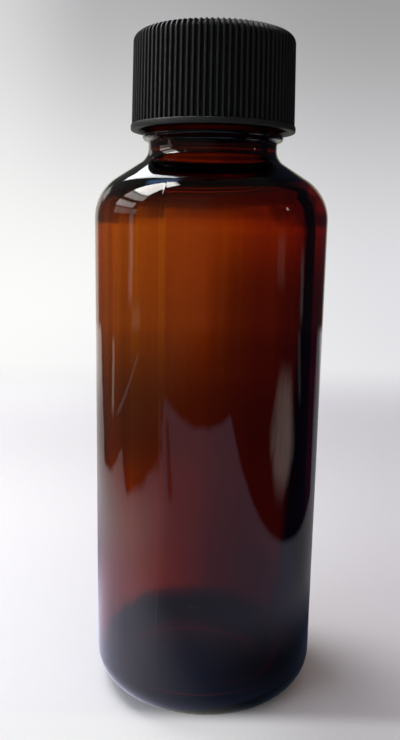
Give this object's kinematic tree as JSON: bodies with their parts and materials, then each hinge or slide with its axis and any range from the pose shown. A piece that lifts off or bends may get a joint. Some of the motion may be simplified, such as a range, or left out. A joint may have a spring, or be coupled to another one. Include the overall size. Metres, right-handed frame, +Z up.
{
  "type": "amber glass screw-cap bottle",
  "caption": "Round-shouldered amber glass bottle with a finely ribbed black screw cap and a sealing liner, for toiletries and other liquids kept from light.",
  "frame": {"origin": "middle of the surface that the bottle stands on", "axes": "+Z up the axis of the bottle, towards the cap; the bottle is round, so +X and +Y are free"},
  "size_m": [0.0446, 0.0446, 0.1275],
  "materials": {
    "amber_glass": "polished moulded glass",
    "black_plastic": "satin moulded polypropylene",
    "liner_foam": "smooth film over fine closed-cell foam"
  },
  "bodies": {
    "bottle": {"glass_bottle": "amber_glass"},
    "liner": {"cap_liner": "liner_foam"},
    "cap": {"screw_cap": "black_plastic"}
  },
  "joints": [
    {"name": "cap_lift", "type": "slide", "parent": "bottle", "child": "liner", "axis": [0, 0, 1], "range_m": [0, 0.02117]},
    {"name": "cap_turn", "type": "hinge", "parent": "liner", "child": "cap", "pos_m": [0, 0, 0.11034], "axis": [0, 0, 1], "range_deg": [0, 1800]}
  ],
  "couplings": [
    {"joint": "cap_lift", "follows": "cap_turn", "m_per_rad": 0.00067376}
  ]
}
